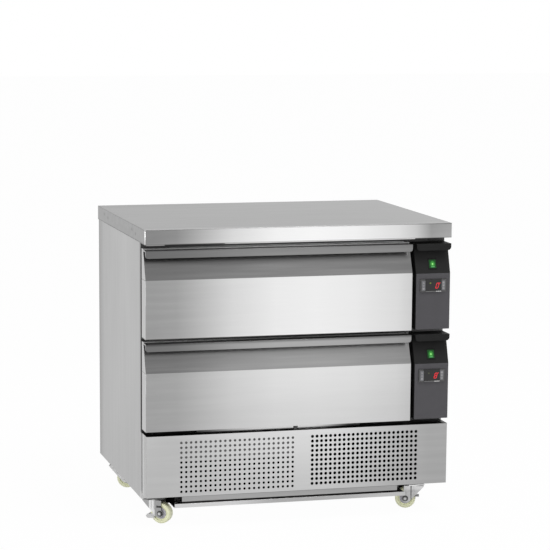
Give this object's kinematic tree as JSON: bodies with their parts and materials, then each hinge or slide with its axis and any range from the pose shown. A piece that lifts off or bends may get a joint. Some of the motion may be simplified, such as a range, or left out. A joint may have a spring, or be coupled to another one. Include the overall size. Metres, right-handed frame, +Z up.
{
  "type": "refrigerated chef base",
  "caption": "Low stainless refrigerated counter on castors, with stacked pull-out drawers beside control panels, over a pierced vent panel with a drip tray below.",
  "frame": {"origin": "on the floor under the middle of the object's bounding box", "axes": "+X to the right seen from the front, +Y towards the back, +Z up"},
  "size_m": [0.9, 0.7, 0.85],
  "materials": {
    "stainless": "brushed, satin",
    "galvanised": "plain zinc",
    "foam": "rigid foam",
    "liner_steel": "satin",
    "black_plastic": "fine matt",
    "grey_overlay": "matt film",
    "display_black": "gloss",
    "fin_alloy": "plain",
    "zinc_plate": "bright zinc",
    "black_enamel": "satin black",
    "copper": "bright tube",
    "gasket": "soft",
    "slide_steel": "zinc",
    "key_grey": "matt",
    "switch_green": "glossy, lit",
    "white_plastic": "matt",
    "cream_wheel": "satin"
  },
  "bodies": {
    "cabinet": {"worktop": "stainless", "side_panel_left": "stainless", "side_panel_right": "stainless", "back_panel": "galvanised", "front_frame": "stainless", "body_insulation": "foam", "liner_upper": "liner_steel", "liner_lower": "liner_steel", "control_housing_upper": "black_plastic", "control_housing_lower": "black_plastic", "control_overlay_upper": "grey_overlay", "control_overlay_lower": "grey_overlay", "controller_upper": "display_black", "controller_lower": "display_black", "evaporator_upper": "fin_alloy", "evaporator_lower": "fin_alloy", "grille_panel": "stainless", "base_pan": "zinc_plate", "tray_guide": "stainless", "thumb_screw": "zinc_plate", "condenser": "fin_alloy", "compressor": "black_enamel", "refrigerant_pipes": "copper", "castor_plate_front_left": "zinc_plate", "castor_plate_front_right": "zinc_plate", "castor_plate_rear_left": "zinc_plate", "castor_plate_rear_right": "zinc_plate", "power_inlet": "black_plastic"},
    "drawer_upper": {"drawer_front_upper": "stainless", "drawer_inner_upper": "foam", "drawer_gasket_upper": "gasket", "drawer_tub_upper": "liner_steel"},
    "runners_upper": {"runner_left_upper": "slide_steel", "runner_right_upper": "slide_steel"},
    "key_left_upper": {"key_left_upper": "key_grey"},
    "key_right_upper": {"key_right_upper": "key_grey"},
    "rocker_upper": {"rocker_upper": "switch_green"},
    "evaporator_fan_upper": {"evaporator_fan_upper": "white_plastic"},
    "drawer_lower": {"drawer_front_lower": "stainless", "drawer_inner_lower": "foam", "drawer_gasket_lower": "gasket", "drawer_tub_lower": "liner_steel"},
    "runners_lower": {"runner_left_lower": "slide_steel", "runner_right_lower": "slide_steel"},
    "key_left_lower": {"key_left_lower": "key_grey"},
    "key_right_lower": {"key_right_lower": "key_grey"},
    "rocker_lower": {"rocker_lower": "switch_green"},
    "evaporator_fan_lower": {"evaporator_fan_lower": "white_plastic"},
    "condenser_fan": {"condenser_fan": "black_plastic"},
    "condensate_tray": {"condensate_tray": "stainless"},
    "castor_swivel_front_left": {"castor_fork_front_left": "zinc_plate"},
    "castor_wheel_front_left": {"castor_wheel_front_left": "cream_wheel"},
    "brake_front_left": {"brake_pedal_front_left": "zinc_plate"},
    "castor_swivel_front_right": {"castor_fork_front_right": "zinc_plate"},
    "castor_wheel_front_right": {"castor_wheel_front_right": "cream_wheel"},
    "brake_front_right": {"brake_pedal_front_right": "zinc_plate"},
    "castor_swivel_rear_left": {"castor_fork_rear_left": "zinc_plate"},
    "castor_wheel_rear_left": {"castor_wheel_rear_left": "cream_wheel"},
    "castor_swivel_rear_right": {"castor_fork_rear_right": "zinc_plate"},
    "castor_wheel_rear_right": {"castor_wheel_rear_right": "cream_wheel"}
  },
  "joints": [
    {"name": "drawer_slide_upper", "type": "slide", "parent": "cabinet", "child": "drawer_upper", "axis": [0, -1, 0], "range_m": [0, 0.42]},
    {"name": "runner_slide_upper", "type": "slide", "parent": "cabinet", "child": "runners_upper", "axis": [0, -1, 0], "range_m": [0, 0.21]},
    {"name": "key_press_left_upper", "type": "slide", "parent": "cabinet", "child": "key_left_upper", "axis": [0, 1, 0], "range_m": [0, 0.0008], "stiffness_N_per_m": 400},
    {"name": "key_press_right_upper", "type": "slide", "parent": "cabinet", "child": "key_right_upper", "axis": [0, 1, 0], "range_m": [0, 0.0008], "stiffness_N_per_m": 400},
    {"name": "rocker_tilt_upper", "type": "hinge", "parent": "cabinet", "child": "rocker_upper", "pos_m": [0.39675, -0.33582, 0.7315], "axis": [1, 0, 0], "range_deg": [0, 14]},
    {"name": "evaporator_fan_spin_upper", "type": "hinge", "parent": "cabinet", "child": "evaporator_fan_upper", "pos_m": [-0.037, 0.2334, 0.667], "axis": [0, 1, 0], "continuous": true},
    {"name": "drawer_slide_lower", "type": "slide", "parent": "cabinet", "child": "drawer_lower", "axis": [0, -1, 0], "range_m": [0, 0.42]},
    {"name": "runner_slide_lower", "type": "slide", "parent": "cabinet", "child": "runners_lower", "axis": [0, -1, 0], "range_m": [0, 0.21]},
    {"name": "key_press_left_lower", "type": "slide", "parent": "cabinet", "child": "key_left_lower", "axis": [0, 1, 0], "range_m": [0, 0.0008], "stiffness_N_per_m": 400},
    {"name": "key_press_right_lower", "type": "slide", "parent": "cabinet", "child": "key_right_lower", "axis": [0, 1, 0], "range_m": [0, 0.0008], "stiffness_N_per_m": 400},
    {"name": "rocker_tilt_lower", "type": "hinge", "parent": "cabinet", "child": "rocker_lower", "pos_m": [0.39675, -0.33582, 0.469], "axis": [1, 0, 0], "range_deg": [0, 14]},
    {"name": "evaporator_fan_spin_lower", "type": "hinge", "parent": "cabinet", "child": "evaporator_fan_lower", "pos_m": [-0.037, 0.2334, 0.4045], "axis": [0, 1, 0], "continuous": true},
    {"name": "condenser_fan_spin", "type": "hinge", "parent": "cabinet", "child": "condenser_fan", "pos_m": [-0.195, -0.168, 0.1596], "axis": [0, 1, 0], "continuous": true},
    {"name": "tray_slide", "type": "slide", "parent": "cabinet", "child": "condensate_tray", "axis": [0, -1, 0], "range_m": [0, 0.25]},
    {"name": "castor_swivel_front_left", "type": "hinge", "parent": "cabinet", "child": "castor_swivel_front_left", "pos_m": [-0.407, -0.268, 0.0682], "axis": [0, 0, 1], "continuous": true},
    {"name": "castor_roll_front_left", "type": "hinge", "parent": "castor_swivel_front_left", "child": "castor_wheel_front_left", "pos_m": [-0.3871, -0.28142, 0.03], "axis": [0.5592, 0.829, 0], "continuous": true},
    {"name": "brake_press_front_left", "type": "hinge", "parent": "castor_swivel_front_left", "child": "brake_front_left", "pos_m": [-0.3871, -0.28142, 0.03], "axis": [0.5592, 0.829, 0], "range_deg": [0, 18]},
    {"name": "castor_swivel_front_right", "type": "hinge", "parent": "cabinet", "child": "castor_swivel_front_right", "pos_m": [0.3745, -0.268, 0.0682], "axis": [0, 0, 1], "continuous": true},
    {"name": "castor_roll_front_right", "type": "hinge", "parent": "castor_swivel_front_right", "child": "castor_wheel_front_right", "pos_m": [0.35181, -0.26019, 0.03], "axis": [-0.3256, -0.9455, 0], "continuous": true},
    {"name": "brake_press_front_right", "type": "hinge", "parent": "castor_swivel_front_right", "child": "brake_front_right", "pos_m": [0.35181, -0.26019, 0.03], "axis": [-0.3256, -0.9455, 0], "range_deg": [-18, 0]},
    {"name": "castor_swivel_rear_left", "type": "hinge", "parent": "cabinet", "child": "castor_swivel_rear_left", "pos_m": [-0.4155, 0.196, 0.0682], "axis": [0, 0, 1], "continuous": true},
    {"name": "castor_roll_rear_left", "type": "hinge", "parent": "castor_swivel_rear_left", "child": "castor_wheel_rear_left", "pos_m": [-0.39375, 0.18586, 0.03], "axis": [0.4226, 0.9063, 0], "continuous": true},
    {"name": "castor_swivel_rear_right", "type": "hinge", "parent": "cabinet", "child": "castor_swivel_rear_right", "pos_m": [0.3745, 0.196, 0.0682], "axis": [0, 0, 1], "continuous": true},
    {"name": "castor_roll_rear_right", "type": "hinge", "parent": "castor_swivel_rear_right", "child": "castor_wheel_rear_right", "pos_m": [0.38577, 0.17481, 0.03], "axis": [0.8829, 0.4695, 0], "continuous": true}
  ],
  "couplings": [
    {"joint": "runner_slide_upper", "follows": "drawer_slide_upper", "ratio": 0.5},
    {"joint": "runner_slide_lower", "follows": "drawer_slide_lower", "ratio": 0.5}
  ]
}
